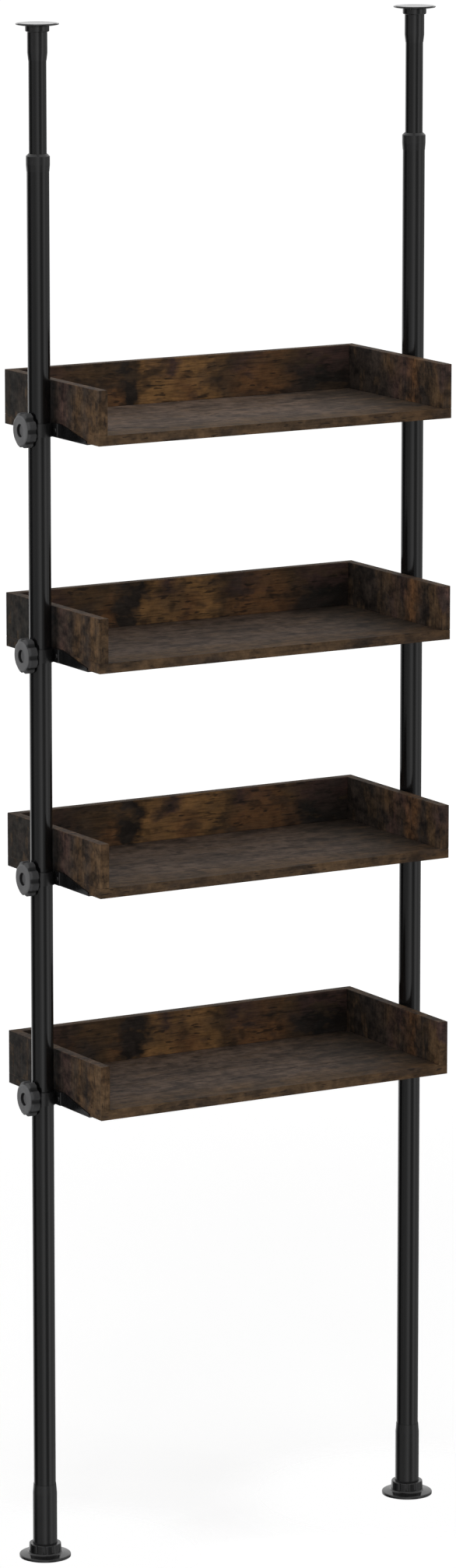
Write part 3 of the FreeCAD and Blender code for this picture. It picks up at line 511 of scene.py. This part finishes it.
def add_cross_recess(fastener, radius, top):
    """A cross-shaped recess with a narrower floor. Gives the edges of its mouth."""
    arm = radius * CROSS_ARM
    half = radius * CROSS_HALF_WIDTH
    outline = [(half, half), (half, arm), (-half, arm), (-half, half), (-arm, half), (-arm, -half),
               (-half, -half), (-half, -arm), (half, -arm), (half, -half), (arm, -half), (arm, half)]
    mouth = fastener.faces.new([fastener.verts.new((across, up, top)) for across, up in outline])
    sunk = bmesh.ops.extrude_discrete_faces(fastener, faces=[mouth])["faces"]
    floor = list(sunk[0].verts)
    bmesh.ops.scale(fastener, vec=(CROSS_TAPER, CROSS_TAPER, 1), verts=floor)
    bmesh.ops.translate(fastener, vec=(0, 0, -CROSS_DEPTH * top), verts=floor)
    bmesh.ops.remove_doubles(fastener, verts=fastener.verts, dist=MERGE_DISTANCE)
    return [edge for edge in fastener.edges if edge.is_boundary]


def ring_outwards(shape, edges, radius, height):
    """Extrude a ring of edges and bring the new ring to a radius and a height."""
    grown = bmesh.ops.extrude_edge_only(shape, edges=edges)["geom"]
    ring = [item for item in grown if isinstance(item, bmesh.types.BMVert)]
    for corner in ring:
        flat = Vector((corner.co.x, corner.co.y)).normalized() * radius
        corner.co = (flat.x, flat.y, height)
    return [item for item in grown if isinstance(item, bmesh.types.BMEdge) and all(
        corner in ring for corner in item.verts)]


def add_fastener(shape, sizes, place, driven):
    """A domed head above its seat at z 0, with a cross recess if it is driven, and a shank below."""
    fastener = bmesh.new()
    radius, top, dome, shank, length = sizes
    shoulder = top - dome
    mouth = add_cross_recess(fastener, radius, top) if driven else []
    crown = bmesh.ops.create_circle(
        fastener, cap_ends=not driven, segments=ROUND_STEPS,
        radius=radius * (CROWN_RADIUS if driven else RIVET_FLAT))["verts"]
    bmesh.ops.translate(fastener, vec=(0, 0, top), verts=crown)
    ring = [edge for edge in fastener.edges if edge.verts[0] in crown and edge.verts[1] in crown]
    if driven:
        bmesh.ops.bridge_loops(fastener, edges=mouth + ring)
    else:
        ring = ring_outwards(fastener, ring, radius * CROWN_RADIUS, shoulder + CROWN_RISE * dome)
    for reach, height in (
        (radius * DOME_RADIUS, shoulder + DOME_RISE * dome),
        (radius, shoulder), (radius, 0), (shank, 0), (shank, -length),
    ):
        ring = ring_outwards(fastener, ring, reach, height)
    bmesh.ops.holes_fill(fastener, edges=ring, sides=ROUND_STEPS)
    bmesh.ops.recalc_face_normals(fastener, faces=fastener.faces)
    bmesh.ops.transform(fastener, matrix=place, verts=fastener.verts)
    for face in fastener.faces:
        face.smooth = len(face.verts) == 4
    mesh = bpy.data.meshes.new("fastener")
    fastener.to_mesh(mesh)
    fastener.free()
    shape.from_mesh(mesh)
    bpy.data.meshes.remove(mesh)


# Places of a tray's fasteners, in metres from the edges of its boards and brackets
SIDE_SCREW_INSET = 0.025
BACK_SCREW_INSET = 0.070
JOINT_SCREW_SINK = 0.003
BRACKET_SCREW_INSET = 0.017
RIVET_OFFSET = 0.004
RIVET_HEIGHT = 0.010
# The rivets' places in front of the pole's axis and behind it
RIVET_DEPTHS = (-0.023, 0.023)


def screw_places(shelf):
    """Each screw's sizes and its place, from the tray's own corners, and that it is driven."""
    low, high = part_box(shelf + "_shelf_floor_board")
    board = high.z - low.z
    head_down = Matrix.Rotation(math.pi, 4, "X")
    joints = []
    for across in (low.x + board / 2, high.x - board / 2):
        joints += [(across, low.y + SIDE_SCREW_INSET), (across, high.y - board - SIDE_SCREW_INSET)]
    for share in (-1, -1 / 3, 1 / 3, 1):
        joints.append((share * (high.x - BACK_SCREW_INSET), high.y - board / 2))
    for across, deep in joints:
        yield JOINT_SCREW, Matrix.Translation((across, deep, low.z + JOINT_SCREW_SINK)) @ head_down, True
    for side, sign in SIDES.items():
        bracket_low, bracket_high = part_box("%s_shelf_%s_bracket" % (shelf, side))
        line = bracket_low.x + BRACKET_SCREW_INSET if sign < 0 else bracket_high.x - BRACKET_SCREW_INSET
        for share in (-1, -0.5, 0.5, 1):
            spot = (line, share * (bracket_high.y - BRACKET_SCREW_INSET), bracket_low.z)
            yield BRACKET_SCREW, Matrix.Translation(spot) @ head_down, True


def rivet_places(shelf):
    """The black rivets through the clamps' ears, which aren't driven."""
    low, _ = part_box(shelf + "_shelf_floor_board")
    for side, sign in SIDES.items():
        bracket_low, bracket_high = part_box("%s_shelf_%s_bracket" % (shelf, side))
        ear = bracket_low.x - RIVET_OFFSET if sign < 0 else bracket_high.x + RIVET_OFFSET
        for deep in RIVET_DEPTHS:
            spot = Matrix.Translation((ear, deep, low.z + RIVET_HEIGHT))
            yield RIVET, spot @ Matrix.Rotation(sign * math.pi / 2, 4, "Y"), False


def make_fasteners(finishes):
    """Driven screws and domed rivets in place of each tray's plain ones."""
    for shelf in SHELVES:
        for name, slot, places in (
            ("driven_screws", "zinc_steel", screw_places(shelf)),
            ("clamp_rivets", "powder_coat", rivet_places(shelf)),
        ):
            shape = bmesh.new()
            for sizes, place, driven in places:
                add_fastener(shape, sizes, place, driven)
            finished_piece("%s_shelf_%s" % (shelf, name), shape, shelf + "_shelf", slot, finishes[slot],
                           [shelf + "_shelf_screws"])


THREAD_PITCH = 0.004
THREAD_ROOT = 0.0061
THREAD_CREST = 0.0070
THREAD_START = 0.012
THREAD_STEPS = 24
# The thread's section: radii, and rises as shares of the pitch
THREAD_SECTION = ((THREAD_ROOT, 0), (THREAD_CREST, 0.225), (THREAD_CREST, 0.425), (THREAD_ROOT, 0.65))


def make_stem_threads(finish):
    """The moulded thread of each foot's jacking stem, which shows where the sleeve has run up it."""
    for side in SIDES:
        low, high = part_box(side + "_foot_base")
        axis = Vector(((low.x + high.x) / 2, (low.y + high.y) / 2, 0))
        start = low.z + THREAD_START
        turns = int((high.z - start) / THREAD_PITCH) - 1
        shape = bmesh.new()
        corners = []
        for radius, rise in THREAD_SECTION:
            corners.append(shape.verts.new((axis.x + radius, axis.y, start + rise * THREAD_PITCH)))
        shape.faces.new(corners)
        bmesh.ops.spin(
            shape, geom=shape.verts[:] + shape.edges[:] + shape.faces[:], cent=axis, axis=(0, 0, 1),
            dvec=(0, 0, THREAD_PITCH / THREAD_STEPS), angle=2 * math.pi * turns, steps=THREAD_STEPS * turns)
        bmesh.ops.recalc_face_normals(shape, faces=shape.faces)
        finished_piece(side + "_foot_stem_thread", shape, side + "_foot", "black_plastic", finish)


# Studio

# Each light's azimuth and elevation in degrees, its distance and size in metres, and its level
STUDIO_LIGHTS = {
    "left_light": (-92, 20, 5, 2.2, 0.32),
    "front_light": (-32, 24, 6, 2.4, 0.14),
    "right_light": (40, 14, 5, 2.0, 0.16),
    "top_light": (-20, 78, 5, 2.6, 0.21),
}


def studio_light(name, azimuth, elevation, distance, size, level):
    """A soft square light that gives a white surface facing it this share of full brightness. Glossy
    pieces reflect the studio ring alone."""
    data = bpy.data.lights.new(name, "AREA")
    data.shape = "SQUARE"
    data.size = size
    data.energy = level * (math.pi * distance) ** 2
    light = bpy.data.objects.new(name, data)
    around = math.radians(azimuth)
    above = math.radians(elevation)
    direction = Vector((
        math.sin(around) * math.cos(above), -math.cos(around) * math.cos(above), math.sin(above)))
    light.location = VIEW_TARGET + direction * distance
    light.rotation_euler = direction.to_track_quat("Z", "Y").to_euler()
    light.visible_glossy = False
    bpy.context.scene.collection.objects.link(light)


WORLD_LEVEL = 0.42
# What glossy pieces see low around the set: soft boxes, black flags and a backdrop, by azimuth in degrees
STUDIO_RING = (
    (-180, 1.0), (-162, 1.0), (-148, 0.15), (-136, 0.02), (-116, 0.05), (-98, 0.42), (-60, 0.40), (-42, 0.66),
    (-27, 1.0), (-18, 0.90), (-6, 0.32), (6, 0.22), (17, 0.40), (29, 1.0), (40, 1.0), (52, 0.60), (80, 0.50),
    (120, 0.20), (140, 0.25), (155, 1.0), (180, 1.0))
# A direction's rises, from -1 to 1, between which the ring goes over to white
RING_TOP = (-0.08, 0.10)


def studio_ring(direction):
    """The brightness that a glossy piece sees in a direction. It is white above the set."""
    across, deep, high = [direction.axis(index) for index in range(3)]
    azimuth = across.math("ARCTAN2", across, 0 - deep)
    ring = ramped(azimuth * (0.5 / math.pi) + 0.5, *[
        (angle / 360 + 0.5, (level, level, level, 1)) for angle, level in STUDIO_RING])
    return blended(between(high, *RING_TOP), ring, WHITE)


def make_world():
    """White to the eye, a studio to glossy pieces, and a plain level of light to all others."""
    world = bpy.data.worlds.new("white_studio")
    world.use_nodes = True
    tree = world.node_tree
    path = tree.nodes.new("ShaderNodeLightPath")
    camera, glossy, through = [Shade(tree, path.outputs[name]) for name in (
        "Is Camera Ray", "Is Glossy Ray", "Is Transmission Ray")]
    direction = Shade(tree, tree.nodes.new("ShaderNodeTexCoord").outputs["Generated"])
    seen = camera.math("MAXIMUM", camera, through)
    plain = seen * (1 - WORLD_LEVEL) + WORLD_LEVEL
    colour = blended(glossy, plain, studio_ring(direction))
    tree.links.new(colour.socket, tree.nodes["Background"].inputs["Color"])
    bpy.context.scene.world = world


FLOOR_RADIUS = 80
FLOOR_STEPS = 96
FLOOR_COLOUR = (0.78, 0.78, 0.78, 1)
# The floor's own glow to the eye, near the unit and far from it, and the distances between which it changes
FLOOR_GLOW_NEAR = 0.46
FLOOR_GLOW_FAR = 0.72
FLOOR_GLOW_REACH = (0.8, 6)
# How far from a foot's axis the floor starts and is solid
FOOT_CLEARANCE = (0.17, 0.34)


def pale_floor(tree):
    """White to the eye where no shadow falls. It gives way around the feet, which a jack can lower past
    it, and lets the eye through from below."""
    shader = tree.nodes["Principled BSDF"]
    camera = Shade(tree, tree.nodes.new("ShaderNodeLightPath").outputs["Is Camera Ray"])
    below = Shade(tree, tree.nodes.new("ShaderNodeNewGeometry").outputs["Backfacing"])
    place = Shade(tree, tree.nodes.new("ShaderNodeTexCoord").outputs["Object"])
    distance = place.node("VectorMath", {"operation": "LENGTH"}, {0: place}, 1)
    glow = FLOOR_GLOW_NEAR + (FLOOR_GLOW_FAR - FLOOR_GLOW_NEAR) * between(distance, *FLOOR_GLOW_REACH)
    fill_sockets(tree, shader, {
        "Base Color": FLOOR_COLOUR,
        "Roughness": 0.9,
        "Specular IOR Level": 0,
        "Emission Color": camera * glow,
        "Emission Strength": 1,
    })
    foot_low, foot_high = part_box("right_foot_base")
    from_foot = hypotenuse(place.axis(0).magnitude() - (foot_low.x + foot_high.x) / 2, place.axis(1))
    solid = (1 - below) * between(from_foot, *FOOT_CLEARANCE)
    surface = place.node("MixShader", None, {
        0: solid, 1: place.node("BsdfTransparent"), 2: Shade(tree, shader.outputs["BSDF"])})
    tree.links.new(surface.socket, tree.nodes["Material Output"].inputs["Surface"])


def make_floor():
    """A pale floor that keeps the unit's soft shadow."""
    shape = bmesh.new()
    bmesh.ops.create_circle(shape, cap_ends=True, segments=FLOOR_STEPS, radius=FLOOR_RADIUS)
    mesh = bpy.data.meshes.new("studio_floor")
    shape.to_mesh(mesh)
    shape.free()
    material = bpy.data.materials.new("pale_floor")
    material.use_nodes = True
    pale_floor(material.node_tree)
    mesh.materials.append(material)
    floor = bpy.data.objects.new("studio_floor", mesh)
    floor.visible_glossy = False
    bpy.context.scene.collection.objects.link(floor)


make_camera()
finishes = dress_cad_nodes()
make_fasteners(finishes)
make_stem_threads(finishes["black_plastic"])
make_world()
make_floor()
for name, values in STUDIO_LIGHTS.items():
    studio_light(name, *values)
bpy.context.scene.view_settings.view_transform = "Standard"
